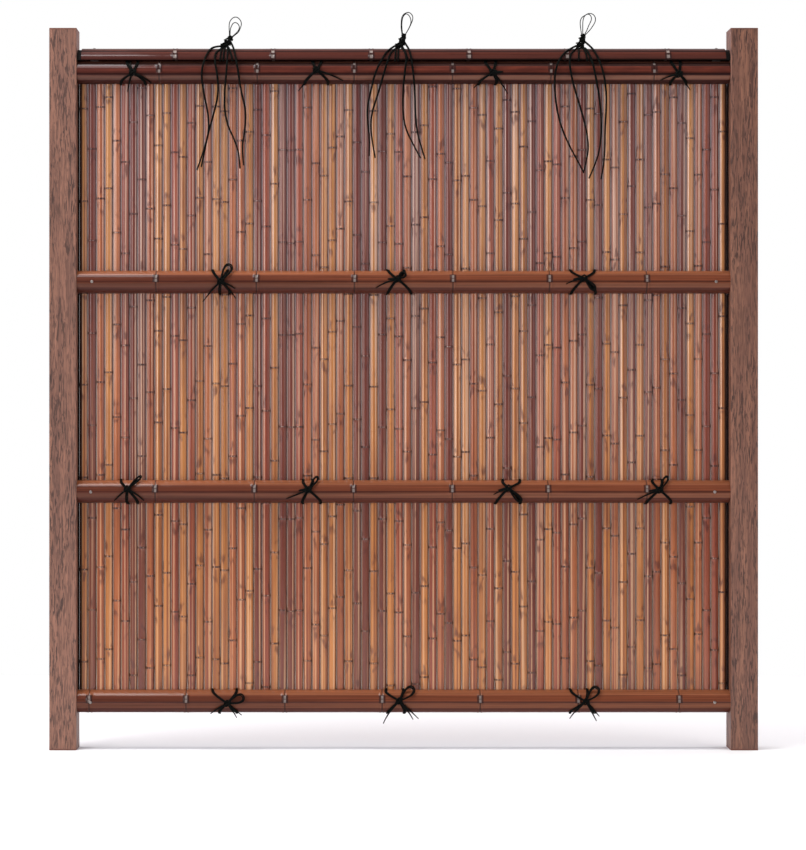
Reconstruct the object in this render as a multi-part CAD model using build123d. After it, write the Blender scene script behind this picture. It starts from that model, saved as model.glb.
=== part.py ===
from build123d import *
from math import asin, cos, pi, radians, sin, sqrt, tan
import os

# Artificial bamboo fence panel between two square posts, seen from its good side.
# Millimetres. X runs along the fence, -Y is the good side, Z is up.
# The origin is the point on the ground midway between the posts, on their centre line.

# Posts: square aluminium tube with a wood-grain skin, closed by plugs at both ends
POST = 75.0
POST_WALL = 2.5
POST_CORNER = 2.0
POST_HEIGHT = 1987.0
CLEAR_WIDTH = 1800.0
PLUG_PLATE = 4.0
PLUG_SKIRT = 14.0
PLUG_WALL = 2.0
PLUG_SLACK = 0.2

# Panel: half-split rails in front, slats, then backing rails
PANEL_BOTTOM = 100.0
PANEL_HEIGHT = 1800.0
RAIL_DIAMETER = 63.0
RAIL_WALL = 3.0
RAIL_SETBACK = 2.0
RIDGE_HEIGHT = 0.9
RIDGE_WIDTH = 12.0

# Slats: narrow half-round strips, open at the back, their rounded face made of a few flats
SLAT_COUNT = 78
SLATS_PER_BAY = 13
SLAT_GAP = 0.2
SLAT_RISE = 10.0
SLAT_FLATS = 6
SLAT_WALL = 2.4
SLAT_HOLLOW_TOP = 7.0
SLAT_FOOT_RISE = 6.0
SIDE_GAP = 3.5

# Backing rails, edge strips and angle brackets: plain aluminium
BACKING_DEPTH = 25.0
BACKING_HEIGHT = 40.0
BACKING_WALL = 1.5
BRACKET_WALL = 2.5
BRACKET_HEIGHT = 70.0
BRACKET_LEG_HEIGHT = 26.0
BRACKET_LEG = 34.0
EDGE_SLACK = 0.2

# Cap over the top edge, held on two saddles and closed by black end pieces
CAP_END = 12.0
CAP_SPIGOT = 10.0
SADDLE_LENGTH = 22.0
SADDLE_PLATE = 3.0
SADDLE_FRONT_Y = -3.0
SADDLE_SLACK = 0.5

# Ties of black palm cord
CORD = 4.4
CORD_CLEARANCE = 1.1
BACK_CLEARANCE = 0.2
TIE_REACH = 17.0
KNOT = (20.0, 9.0, 16.0)
CAP_KNOT = (24.0, 16.0, 16.0)
CAP_KNOT_PLACE = (-1.0, -2.0, 1942.0)
BOW_KNOT = (14.0, 12.0, 24.0)
BOW_KNOT_Z = 1960.0
CAP_TURNS_SHIFT = -9.0
CAP_TURNS_STEP = (27.0, 22.0)

# Places along the fence, measured from its middle
RAIL_NODES = {
    "bottom_rail": (-866, -599, -327, -59, 211, 481, 759),
    "lower_middle_rail": (-684, -411, -138, 134, 398, 670),
    "upper_middle_rail": (-682, -405, -135, 136, 402, 670),
    "top_rail": (-673, -403, -136, 135, 406, 690),
}
CAP_NODES = (-630, -360, -89, 181, 451, 729)
RAIL_TIES = {
    "bottom_rail": (-483, -12, 499),
    "lower_middle_rail": (-760, -257, 293, 705),
    "upper_middle_rail": (-499, -12, 496),
    "top_rail": (-744, -235, 240, 755),
}
CAP_SADDLES = {"left": -855, "right": 866}

# Cap ties, their hanging ends (x from the tie, y from the centre line, z above the ground) and their bows
CAP_TIES = {"left": -490.0, "middle": -11.0, "right": 490.0}
CAP_TAILS = {
    "left": {
        "outer_left_tail": [
            (-11, -6, 1942), (-33, -9, 1940), (-45, -26, 1928), (-57, -39, 1903), (-67, -42, 1862),
            (-60, -40, 1808), (-48, -38, 1755), (-45, -37, 1704), (-60, -36, 1648), (-79, -34, 1596),
        ],
        "inner_left_tail": [
            (-6, -7, 1937), (-27, -27, 1926), (-30, -40, 1898), (-22, -42, 1858), (-19, -37, 1808),
            (-31, -32, 1757), (-46, -30, 1706), (-57, -29, 1655), (-67, -31, 1605),
        ],
        "inner_right_tail": [
            (4, -8, 1941), (6, -29, 1929), (5, -41, 1903), (3, -45, 1864), (-2, -43, 1816),
            (-3, -40, 1764), (6, -38, 1718), (28, -37, 1672), (38, -36, 1636), (40, -35, 1600),
        ],
        "outer_right_tail": [
            (12, -4, 1955), (19, -10, 1941), (23, -27, 1928), (29, -39, 1901), (36, -42, 1860),
            (43, -40, 1812), (56, -38, 1762), (54, -36, 1708), (44, -34, 1658), (50, -32, 1609),
        ],
    },
    "middle": {
        "outer_left_tail": [
            (-9, -5, 1944), (-31, -25, 1930), (-49, -38, 1901), (-69, -42, 1859), (-80, -40, 1810),
            (-90, -38, 1766), (-87, -36, 1718), (-82, -35, 1676), (-84, -33, 1635),
        ],
        "inner_left_tail": [
            (-6, -7, 1937), (-22, -27, 1926), (-33, -40, 1897), (-46, -41, 1852), (-61, -36, 1801),
            (-78, -30, 1751), (-79, -28, 1704), (-73, -28, 1663), (-67, -29, 1630),
        ],
        "inner_right_tail": [
            (6, -8, 1938), (16, -27, 1925), (19, -39, 1899), (13, -42, 1857), (9, -40, 1807),
            (9, -37, 1756), (15, -35, 1713), (36, -34, 1669), (58, -32, 1629),
        ],
        "outer_right_tail": [
            (12, -4, 1957), (20, -10, 1943), (27, -27, 1928), (33, -38, 1900), (38, -42, 1858),
            (42, -39, 1808), (43, -37, 1755), (47, -35, 1707), (58, -34, 1664), (70, -33, 1626),
        ],
    },
    "right": {
        "outer_left_tail": [
            (-9, -5, 1944), (-38, -24, 1929), (-61, -38, 1903), (-74, -42, 1868), (-75, -40, 1822),
            (-70, -38, 1768), (-57, -36, 1716), (-36, -34, 1667), (-11, -32, 1622), (7, -31, 1588),
        ],
        "inner_left_tail": [
            (-6, -7, 1937), (-26, -27, 1926), (-35, -40, 1897), (-29, -42, 1852), (-15, -39, 1803),
            (1, -37, 1752), (14, -36, 1703), (19, -36, 1655), (12, -37, 1620), (6, -38, 1592),
        ],
        "inner_right_tail": [
            (7, -8, 1938), (18, -27, 1925), (29, -39, 1895), (38, -42, 1852), (47, -39, 1804),
            (53, -37, 1751), (54, -35, 1699), (49, -34, 1649), (35, -33, 1606), (20, -32, 1573),
        ],
        "outer_right_tail": [
            (10, -4, 1956), (26, -12, 1941), (36, -28, 1925), (48, -38, 1898), (60, -42, 1861),
            (67, -40, 1815), (67, -38, 1762), (64, -36, 1709), (64, -34, 1657), (61, -33, 1608),
            (53, -32, 1571),
        ],
    },
}
BOWS = {
    "left": (8, ((9, 1966), (9, 1994), (13, 2014), (26, 2022), (38, 2014), (42, 2002), (34, 1982), (17, 1967))),
    "middle": (9, ((7, 1972), (5, 1998), (9, 2024), (24, 2035), (37, 2023), (35, 2008), (16, 1972))),
    "right": (5, ((4, 1972), (0, 2003), (6, 2022), (24, 2032), (40, 2022), (39, 2007), (27, 1989), (10, 1972))),
}

# Worked-out places
INNER = CLEAR_WIDTH / 2
POST_X = INNER + POST / 2
RAIL_RADIUS = RAIL_DIAMETER / 2
SLAT_FRONT_Y = -POST / 2 + RAIL_SETBACK + RAIL_RADIUS
SLAT_BACK_Y = SLAT_FRONT_Y + SLAT_RISE
BACKING_BACK_Y = SLAT_BACK_Y + BACKING_DEPTH
PANEL_TOP = PANEL_BOTTOM + PANEL_HEIGHT
RAIL_PITCH = (PANEL_HEIGHT - RAIL_DIAMETER) / 3
RAIL_Z = {name: PANEL_BOTTOM + RAIL_RADIUS + i * RAIL_PITCH for i, name in enumerate(RAIL_NODES)}
SLAT_PITCH = (CLEAR_WIDTH - 2 * SIDE_GAP) / SLAT_COUNT
SLAT_WIDTH = SLAT_PITCH - SLAT_GAP
FIRST_VALLEY = SIDE_GAP - INNER
POLYGON_STEP = 30


def save(name, *solids):
    """Writes one node, as one solid or as a group of separate ones."""
    shape = solids[0] if len(solids) == 1 else Compound(children=list(solids))
    export_step(shape, f"parts/{name}.step")


def prism_along_z(section, low, high):
    """A flat section of the XY plane, drawn out between two heights."""
    return extrude(Pos(0, 0, low) * section, high - low)


def post_outline():
    """The post's square outline with its corners eased."""
    square = Rectangle(POST, POST)
    return chamfer(square.vertices(), POST_CORNER)


def post_tube():
    """Square tube with eased corners, between its two plugs."""
    bore = POST - 2 * POST_WALL
    return prism_along_z(post_outline() - Rectangle(bore, bore), PLUG_PLATE, POST_HEIGHT - PLUG_PLATE)


def post_plug():
    """Plate that closes a post, with a hollow skirt that slides into it. The plate's outer face is at z = 0."""
    skirt = POST - 2 * POST_WALL - PLUG_SLACK
    plate = prism_along_z(post_outline(), 0, PLUG_PLATE)
    wall = Rectangle(skirt, skirt) - Rectangle(skirt - 2 * PLUG_WALL, skirt - 2 * PLUG_WALL)
    return plate + prism_along_z(wall, PLUG_PLATE, PLUG_PLATE + PLUG_SKIRT)


def ridge(x):
    """The outline of a bamboo node: the swelling that its two rings stand on."""
    half = RIDGE_WIDTH / 2
    return [(x - half, RAIL_RADIUS), (x, RAIL_RADIUS + RIDGE_HEIGHT), (x + half, RAIL_RADIUS)]


def half_bamboo(start, end, nodes, plane):
    """Half-split hollow bamboo along X. The outline is turned half a turn about X from the given plane."""
    outline = [(start, 0), (start, RAIL_RADIUS)]
    for x in nodes:
        outline += ridge(x)
    outline += [(end, RAIL_RADIUS), (end, 0)]
    profile = plane * make_face(Polyline(*outline, close=True))
    solid = revolve(profile, Axis.X, 180)
    bore = Pos((start + end) / 2, 0, 0) * Rot(0, 90, 0) * Cylinder(RAIL_RADIUS - RAIL_WALL, end - start + 2)
    return solid - bore


def rail(name):
    """A rail in front of the slats, from post to post."""
    return Pos(0, SLAT_FRONT_Y, RAIL_Z[name]) * half_bamboo(-INNER, INNER, RAIL_NODES[name], Plane.XZ)


def slat_section(centre_x):
    """Half-round strip with a hollow that is open at the back."""
    half = SLAT_WIDTH / 2
    radius = (half**2 + SLAT_RISE**2) / (2 * SLAT_RISE)
    reach = asin(half / radius)
    angles = [reach * (2 * step / SLAT_FLATS - 1) for step in range(SLAT_FLATS + 1)]
    face = [(radius * sin(a), radius * (1 - cos(a))) for a in angles]
    mouth = half - SLAT_WALL
    top = SLAT_HOLLOW_TOP / 2
    hollow = [(mouth, SLAT_RISE), (top, SLAT_WALL), (-top, SLAT_WALL), (-mouth, SLAT_RISE)]
    return Pos(centre_x, SLAT_FRONT_Y) * make_face(Polyline(*face, *hollow, close=True))


def slat_bay(first):
    """Thirteen slats side by side, the first one counted from 1 at the left."""
    slats = []
    for number in range(first, first + SLATS_PER_BAY):
        centre_x = FIRST_VALLEY + (number - 0.5) * SLAT_PITCH
        slats.append(prism_along_z(slat_section(centre_x), PANEL_BOTTOM + SLAT_FOOT_RISE, PANEL_TOP))
    return slats


def backing_rail(name):
    """Rectangular tube behind the slats, one behind each rail."""
    section = Rectangle(BACKING_DEPTH, BACKING_HEIGHT)
    section = section - Rectangle(BACKING_DEPTH - 2 * BACKING_WALL, BACKING_HEIGHT - 2 * BACKING_WALL)
    length = CLEAR_WIDTH - 2 * BRACKET_WALL
    tube = extrude(Plane.YZ * section, length / 2, both=True)
    return Pos(0, (SLAT_BACK_Y + BACKING_BACK_Y) / 2, RAIL_Z[name]) * tube


def edge_strip():
    """Flat strip that fills the gap between the left post and the first slat."""
    section = Rectangle(SIDE_GAP - 2 * EDGE_SLACK, SLAT_RISE)
    strip = prism_along_z(section, PANEL_BOTTOM + SLAT_FOOT_RISE, PANEL_TOP)
    return Pos(SIDE_GAP / 2 - INNER, (SLAT_FRONT_Y + SLAT_BACK_Y) / 2, 0) * strip


def bracket(z):
    """Angle bracket at the left end of a backing rail: a tall leg on the post, a short leg behind the rail."""
    depth = BACKING_DEPTH + BRACKET_WALL
    tall = Pos(BRACKET_WALL / 2, SLAT_BACK_Y + depth / 2) * Rectangle(BRACKET_WALL, depth)
    leg = Pos(BRACKET_LEG / 2, BACKING_BACK_Y + BRACKET_WALL / 2) * Rectangle(BRACKET_LEG, BRACKET_WALL)
    top = min(z + BRACKET_HEIGHT / 2, PANEL_TOP)
    tall = prism_along_z(tall, z - BRACKET_HEIGHT / 2, top)
    leg = prism_along_z(leg, z - BRACKET_LEG_HEIGHT / 2, z + BRACKET_LEG_HEIGHT / 2)
    return Pos(-INNER, 0, 0) * (tall + leg)


def cap():
    """Half-split bamboo laid flat side down over the panel's top edge."""
    return Pos(0, 0, PANEL_TOP) * half_bamboo(-INNER + CAP_END, INNER - CAP_END, CAP_NODES, Plane.XY)


def cap_saddle(x):
    """Plate on the top ends of the slats, inside the cap, that a screw in the cap's crest bites into."""
    back = RAIL_RADIUS - RAIL_WALL - SADDLE_SLACK
    plate = Box(SADDLE_LENGTH, back - SADDLE_FRONT_Y, SADDLE_PLATE)
    return Pos(x, (SADDLE_FRONT_Y + back) / 2, PANEL_TOP + SADDLE_PLATE / 2) * plate


def half_disc(radius):
    """The upper half of a disc, to be drawn out along X."""
    return Plane.YZ * (Circle(radius) & Pos(0, radius) * Rectangle(2 * radius, 2 * radius))


def cap_end_piece():
    """Black piece between the cap's left end and the post, with a spigot inside the cap. The post is at x = 0."""
    disc = extrude(half_disc(RAIL_RADIUS), CAP_END)
    spigot = Pos(CAP_END, 0, 0) * extrude(half_disc(RAIL_RADIUS - RAIL_WALL - PLUG_SLACK), CAP_SPIGOT)
    return Pos(0, 0, PANEL_TOP) * (disc + spigot)


def cord_circle_radius():
    """Radius of the cord's centre line where it goes round a rail or the cap."""
    return RAIL_RADIUS + CORD_CLEARANCE + CORD / 2


def polygon_arc(centre, start, end):
    """Corners of the straight-sided line, in degrees from +Y to +Z, that a plain cord follows round a half bamboo."""
    reach = cord_circle_radius() / cos(radians(POLYGON_STEP / 2))
    angles = range(start, end + POLYGON_STEP, POLYGON_STEP)
    return [(centre[0] + reach * cos(radians(a)), centre[1] + reach * sin(radians(a))) for a in angles]


def cord_ring(points, plane, width):
    """Closed band of cord whose centre line is the given outline in a plane."""
    loop = make_face(Polyline(*points, close=True))
    band = offset(loop, CORD / 2, kind=Kind.INTERSECTION) - offset(loop, -CORD / 2, kind=Kind.INTERSECTION)
    return extrude(plane * band, width / 2, both=True)


def rail_wrap(x, z):
    """One turn of cord round a rail, behind it in the valley between two slats."""
    behind = SLAT_FRONT_Y + BACK_CLEARANCE + CORD / 2
    front = polygon_arc((SLAT_FRONT_Y, z), 90, 270)
    points = [*front, (behind, front[-1][1]), (behind, front[0][1])]
    return Pos(x, 0, 0) * cord_ring(points, Plane.YZ, CORD)


def rail_tie(x, z):
    """Cord tied round a rail: two turns, each in the valley nearest to its place, that meet in a knot in front."""
    turns = []
    for place in (x - TIE_REACH, x + TIE_REACH):
        turns.append(FIRST_VALLEY + SLAT_PITCH * round((place - FIRST_VALLEY) / SLAT_PITCH))
    knot_y = SLAT_FRONT_Y - RAIL_RADIUS - CORD_CLEARANCE - KNOT[1] / 2
    across = Pos(sum(turns) / 2, knot_y, z) * Box(turns[1] - turns[0] + CORD, CORD, CORD)
    tie = Pos(x, knot_y, z) * Box(*KNOT) + across
    for turn in turns:
        tie += rail_wrap(turn, z)
    return tie


def cap_tie(side):
    """Cord tied round the cap, in behind its front edge and over the panel's top, with its knot and its bow."""
    x = CAP_TIES[side]
    edge_y = cord_circle_radius() + BACK_CLEARANCE
    below = PANEL_TOP - BACK_CLEARANCE - 0.7 * CORD
    above = PANEL_TOP + 2 * BACK_CLEARANCE + CORD / 2
    foot, head = CAP_TURNS_STEP
    inside = [(-edge_y, below), (-foot, below), (-head, above), (head, above), (foot, below), (edge_y, below)]
    around = polygon_arc((0, PANEL_TOP), 30, 150) + inside
    turns = Pos(x + CAP_TURNS_SHIFT, 0, 0) * cord_ring(around, Plane.YZ, 2 * CORD)
    knot_x, knot_y, knot_z = CAP_KNOT_PLACE
    knot = Pos(x + knot_x, knot_y, knot_z) * Box(*CAP_KNOT)
    bow_x, bow = BOWS[side]
    bow_knot = Pos(x + bow_x, knot_y, BOW_KNOT_Z) * Box(*BOW_KNOT)
    loop = Pos(x, knot_y, 0) * cord_ring(bow, Plane.XZ, CORD)
    return turns + knot + bow_knot + loop


def corner_radii(points):
    """The arc at each corner of a cord: 0.45 of the shorter run, over the tangent of half the turn."""
    radii = []
    for before, here, after in zip(points, points[1:], points[2:]):
        run_in, run_out = Vector(*here) - Vector(*before), Vector(*after) - Vector(*here)
        turn = radians(run_in.get_angle(run_out))
        radii.append(0.45 * min(run_in.length, run_out.length) / tan(turn / 2))
    return radii


def tail(name, side, route, knot):
    """Free end of a cap tie that hangs in front of the panel, cut where it leaves the knot."""
    x = CAP_TIES[side]
    points = [(x + dx, y, z) for dx, y, z in route]
    radii = corner_radii(points)
    line = FilletPolyline(*points, radius=radii)
    side_length = CORD * sqrt(pi) / 2
    section = Rectangle(side_length, side_length)
    tube = sweep(Plane(origin=points[0], z_dir=line % 0) * section, line)
    ratio = tube.volume / section.area / line.length
    tightest = min(radii) / CORD
    print(side, name, f"length {line.length:.0f}, volume ratio {ratio:.4f}, tightest arc {tightest:.1f} diameters")
    return tube - knot


def build_posts():
    """Both posts with the plugs in their tops and feet."""
    for side, x in (("left", -POST_X), ("right", POST_X)):
        save(f"{side}_post", Pos(x, 0, 0) * post_tube())
        save(f"{side}_post_foot", Pos(x, 0, 0) * post_plug())
        save(f"{side}_post_cap", Pos(x, 0, POST_HEIGHT) * Rot(180, 0, 0) * post_plug())


def build_frame():
    """Backing rails, edge strips and brackets."""
    save("left_edge_strip", edge_strip())
    save("right_edge_strip", mirror(edge_strip(), Plane.YZ))
    for name, z in RAIL_Z.items():
        save(name.replace("_rail", "_backing_rail"), backing_rail(name))
        left = bracket(z)
        save("left_" + name.replace("_rail", "_bracket"), left)
        save("right_" + name.replace("_rail", "_bracket"), mirror(left, Plane.YZ))


def build_panel():
    """Slats in six bays, and the four rails in front of them."""
    for bay in range(SLAT_COUNT // SLATS_PER_BAY):
        save(f"slat_bay_{bay + 1}", *slat_bay(1 + bay * SLATS_PER_BAY))
    for name in RAIL_Z:
        save(name, rail(name))


def build_cap():
    """The cap, its end pieces and its saddles."""
    end = Pos(-INNER, 0, 0) * cap_end_piece()
    save("cap_bamboo", cap())
    save("left_cap_end", end)
    save("right_cap_end", mirror(end, Plane.YZ))
    for side, x in CAP_SADDLES.items():
        save(f"{side}_cap_saddle", cap_saddle(x))


def build_ties():
    """Rail ties grouped by rail, and each cap tie with its four hanging ends."""
    for name, places in RAIL_TIES.items():
        save(f"{name}_ties", *[rail_tie(x, RAIL_Z[name]) for x in places])
    for side, tails in CAP_TAILS.items():
        tie = cap_tie(side)
        save(f"{side}_cap_tie", tie)
        for name, route in tails.items():
            save(f"{side}_{name}", tail(name, side, route, tie))


os.makedirs("parts", exist_ok=True)
build_posts()
build_frame()
build_panel()
build_cap()
build_ties()
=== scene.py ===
import math
import bpy
import numpy as np
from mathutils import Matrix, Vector


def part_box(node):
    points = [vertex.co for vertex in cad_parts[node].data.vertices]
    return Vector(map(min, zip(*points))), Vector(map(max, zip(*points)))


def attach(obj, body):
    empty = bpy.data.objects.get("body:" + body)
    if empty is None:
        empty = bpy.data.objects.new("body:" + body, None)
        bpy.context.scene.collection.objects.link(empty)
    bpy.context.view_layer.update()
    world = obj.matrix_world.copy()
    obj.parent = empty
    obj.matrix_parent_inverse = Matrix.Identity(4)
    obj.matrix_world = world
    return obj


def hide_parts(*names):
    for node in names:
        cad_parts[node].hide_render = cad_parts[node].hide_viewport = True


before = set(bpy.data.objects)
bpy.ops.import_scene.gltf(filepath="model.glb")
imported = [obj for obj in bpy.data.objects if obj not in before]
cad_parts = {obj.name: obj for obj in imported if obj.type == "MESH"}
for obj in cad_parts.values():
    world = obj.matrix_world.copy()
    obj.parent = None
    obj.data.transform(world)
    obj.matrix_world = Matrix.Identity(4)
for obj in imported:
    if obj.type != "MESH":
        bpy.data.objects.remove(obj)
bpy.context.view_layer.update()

# Lengths are in metres. MM turns a length given in millimetres into metres.
MM = 0.001

# Camera: level, in front of the good side and left of its middle
PICTURE_WIDTH, PICTURE_HEIGHT = 806, 850
CAMERA_PLACE = (-0.18, -6.1375, 0.9611)
FOCAL_PIXELS = 2218
PRINCIPAL_PIXEL = (338.2, 400.9)
SENSOR = 36.0

# Bamboo slats: how far apart the nodes of each are, and the colours of a bay's thirteen slats, in no order:
# golden, tan, red and dark
NODE_PERIOD = 254.6 * MM
BAYS = 6
BAY_COLOURS = 5 * [(190, 125, 70)] + 3 * [(174, 103, 65)] + 2 * [(151, 78, 54)] + 3 * [(116, 60, 46)]

# The two screws that hold a rail, as places along it in millimetres
RAIL_SCREWS = {
    "bottom_rail": (-862, 856),
    "lower_middle_rail": (-861, 856),
    "upper_middle_rail": (-858, 860),
}

rng = np.random.default_rng(7)
node_rng = np.random.default_rng(4)
colour_rng = np.random.default_rng(2)


def rgb(red, green, blue):
    """A colour given as it looks on a screen, 0 to 255, turned into light values."""
    def light(value):
        value /= 255
        return value / 12.92 if value <= 0.04045 else ((value + 0.055) / 1.055) ** 2.4
    return (light(red), light(green), light(blue), 1.0)


class Nodes:
    """A node tree that is put together socket by socket."""

    def __init__(self, tree):
        self.tree = tree

    def node(self, kind, **settings):
        node = self.tree.nodes.new(kind)
        for key, value in settings.items():
            setattr(node, key, value)
        return node

    def feed(self, socket, value):
        if isinstance(value, bpy.types.NodeSocket):
            self.tree.links.new(value, socket)
        else:
            socket.default_value = value

    def span(self, value, low, high, to_low=0.0, to_high=1.0, smooth=True):
        """A value's range mapped to another range, and clamped to it."""
        kind = "SMOOTHSTEP" if smooth else "LINEAR"
        node = self.node("ShaderNodeMapRange", interpolation_type=kind)
        for socket, number in zip(node.inputs, (value, low, high, to_low, to_high)):
            self.feed(socket, number)
        return node.outputs["Result"]

    def math(self, operation, first, second=0.0):
        node = self.node("ShaderNodeMath", operation=operation)
        self.feed(node.inputs[0], first)
        self.feed(node.inputs[1], second)
        return node.outputs["Value"]

    def times(self, first, second):
        return self.math("MULTIPLY", first, second)

    def mix(self, factor, first, second, blend="MIX"):
        node = self.node("ShaderNodeMix", data_type="RGBA", blend_type=blend)
        self.feed(node.inputs[0], factor)
        self.feed(node.inputs[6], first)
        self.feed(node.inputs[7], second)
        return node.outputs[2]


class Shader(Nodes):
    """A node material."""

    def __init__(self, name):
        self.material = bpy.data.materials.new(name)
        self.material.use_nodes = True
        super().__init__(self.material.node_tree)
        self.surface = self.tree.nodes["Principled BSDF"]

    def set(self, **values):
        """Sets the surface's own sockets, with _ for a space in a socket's name."""
        for name, value in values.items():
            self.feed(self.surface.inputs[name.replace("_", " ")], value)

    def attribute(self, name, output="Fac"):
        return self.node("ShaderNodeAttribute", attribute_name=name).outputs[output]

    def place(self, scale, offset=None):
        """The point on the object in metres, scaled, and moved by an offset that other nodes give."""
        vector = self.node("ShaderNodeTexCoord").outputs["Object"]
        mapping = self.node("ShaderNodeMapping")
        self.feed(mapping.inputs["Vector"], vector)
        self.feed(mapping.inputs["Scale"], scale)
        if offset is not None:
            self.feed(mapping.inputs["Location"], offset)
        return mapping.outputs["Vector"]

    def coordinate(self, axis):
        """How far along X, Y or Z the point on the object is, in metres."""
        parts = self.node("ShaderNodeSeparateXYZ")
        self.feed(parts.inputs[0], self.node("ShaderNodeTexCoord").outputs["Object"])
        return parts.outputs[axis]

    def noise(self, vector, detail=2.0, roughness=0.5, distortion=0.0):
        """Noise with a grain of one unit of the scaled place."""
        node = self.node("ShaderNodeTexNoise")
        self.feed(node.inputs["Vector"], vector)
        self.feed(node.inputs["Scale"], 1.0)
        self.feed(node.inputs["Detail"], detail)
        self.feed(node.inputs["Roughness"], roughness)
        self.feed(node.inputs["Distortion"], distortion)
        return node.outputs["Fac"]

    def shade(self, colour, factor):
        """A colour made lighter or darker by a factor."""
        grey = self.node("ShaderNodeCombineColor")
        for socket in grey.inputs[:3]:
            self.feed(socket, factor)
        return self.mix(1.0, colour, grey.outputs["Color"], "MULTIPLY")

    def bump(self, height, distance):
        node = self.node("ShaderNodeBump")
        self.feed(node.inputs["Height"], height)
        self.feed(node.inputs["Distance"], distance)
        self.feed(node.inputs["Strength"], 1.0)
        self.feed(self.surface.inputs["Normal"], node.outputs["Normal"])


def slat_offset(shader):
    """A different place in every texture for each slat."""
    offset = shader.node("ShaderNodeCombineXYZ")
    shader.feed(offset.inputs["X"], shader.times(shader.attribute("chance"), 91.0))
    shader.feed(offset.inputs["Z"], shader.times(shader.attribute("chance"), 37.0))
    return offset.outputs["Vector"]


# Painted reflection: what the print's colour is multiplied by at the ground and at two metres above it, bluer
# high up where the slats mirror the bright surroundings, oranger low down
LOW_REFLECTION_TINT = (0.98, 0.86, 0.62, 1.0)
HIGH_REFLECTION_TINT = (0.91, 1.05, 1.34, 1.0)
# How far from the fence's middle the slats turn dark with painted shade beside the posts, in metres
POST_SHADE_REACH = (0.8865, 0.8895)


def striped_print(shader, offset):
    """The slat's own tone, with darker patches, and with dark and pale stripes along it."""
    drift = shader.noise(shader.place((8, 8, 4.5), offset), detail=2)
    stripe = shader.noise(shader.place((180, 60, 0.7), offset), detail=1)
    colour = shader.attribute("tone", "Color")
    colour = shader.mix(shader.span(drift, 0.4, 0.72, 0, 0.4), colour, rgb(112, 54, 38))
    colour = shader.mix(shader.span(stripe, 0.5, 0.66, 0, 0.62), colour, rgb(104, 42, 34))
    return shader.mix(shader.span(stripe, 0.46, 0.34, 0, 0.55), colour, rgb(228, 188, 158))


def flank_reflection_and_shade(shader, colour, across):
    """Painted reflection as grey along both sides of a slat, with a painted shadow of its own strength on the
    right one.
    """
    shadow = shader.math("FRACT", shader.times(shader.attribute("chance"), 7.3))
    # The right flank's grey, darkened by painted shadow; the left flank's paler grey is painted reflection
    right = shader.mix(shadow, rgb(142, 116, 108), rgb(92, 64, 56))
    side = shader.mix(shader.span(across, -0.2, 0.2), rgb(172, 142, 132), right)
    flank_light = shader.span(shader.math("ABSOLUTE", across), 0.6, 0.86)
    return shader.mix(shader.times(flank_light, 0.8), colour, side)


def node_marks(shader, colour, across, offset):
    """Soot near each node, a dark beaded ring on it, and a broken pale line along the ring's middle."""
    distance = shader.attribute("joint")
    soot_field = shader.noise(shader.place((80, 80, 30), offset), detail=1)
    near = shader.times(shader.span(distance, 0.003, 0.01), shader.span(distance, 0.06, 0.03))
    soot = shader.times(shader.span(soot_field, 0.52, 0.7), near)
    colour = shader.mix(shader.times(soot, 0.65), colour, rgb(84, 38, 32))
    beads = shader.noise(shader.place((420, 420, 60), offset), detail=1)
    ring = shader.times(shader.span(distance, 0.0034, 0.002), shader.span(beads, 0.56, 0.44, 0.45, 0.92))
    colour = shader.mix(ring, colour, rgb(60, 27, 25))
    pale = shader.times(shader.span(distance, 0.0013, 0.0007), shader.span(beads, 0.5, 0.6))
    pale = shader.times(pale, shader.span(shader.math("ABSOLUTE", across), 0.75, 0.5))
    return shader.mix(shader.times(pale, 0.5), colour, rgb(206, 176, 158))


def smoked_slat():
    """Printed smoked bamboo, glossy, tinted by its height with painted reflection, and dark with painted
    shade and dull beside the posts.
    """
    shader = Shader("smoked_slat")
    offset = slat_offset(shader)
    across = shader.attribute("across")
    streak = shader.noise(shader.place((900, 300, 4), offset), detail=3)
    colour = striped_print(shader, offset)
    colour = shader.shade(colour, shader.span(streak, 0.3, 0.7, 0.9, 1.1, smooth=False))
    colour = flank_reflection_and_shade(shader, colour, across)
    colour = node_marks(shader, colour, across, offset)
    # Painted reflection: a tint by height, bluer higher up
    reflection_tint = shader.mix(shader.span(shader.coordinate("Z"), 0, 2, smooth=False), LOW_REFLECTION_TINT, HIGH_REFLECTION_TINT)
    colour = shader.mix(1.0, colour, reflection_tint, "MULTIPLY")
    # Painted shade of the posts: next to them the slats turn near black, lose their coat and grow rough
    ends = shader.span(shader.math("ABSOLUTE", shader.coordinate("X")), *POST_SHADE_REACH)
    colour = shader.mix(shader.times(ends, 0.88), colour, rgb(46, 24, 22))
    gloss = shader.span(ends, 0, 1, 0.6, 0, smooth=False)
    dullness = shader.span(ends, 0, 1, 0.3, 0.9, smooth=False)
    shader.set(Base_Color=colour, Roughness=dullness, Specular_IOR_Level=0.3)
    shader.set(Coat_Weight=gloss, Coat_Roughness=0.12)
    shader.bump(streak, 0.00005)
    return shader.material


# How glossy a rail is where it has no band, and how far a band's edges fade to each side, in degrees
PLAIN_GLOSS = 0.3
BAND_BLUR = 3


def light_shade_bands(shader, colour, height, bands):
    """Painted light and shade bands along the bamboo, each between two heights in degrees round it, with a
    colour and a gloss.
    """
    gloss = PLAIN_GLOSS
    for low, high, tone, shine in bands:
        above = shader.span(height, low - BAND_BLUR, low + BAND_BLUR)
        below = shader.span(height, high + BAND_BLUR, high - BAND_BLUR)
        light_band = shader.times(above, below)
        colour = shader.mix(shader.times(light_band, 0.9), colour, rgb(*tone))
        gloss = shader.math("ADD", gloss, shader.times(light_band, shine - PLAIN_GLOSS))
    return colour, gloss


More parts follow.
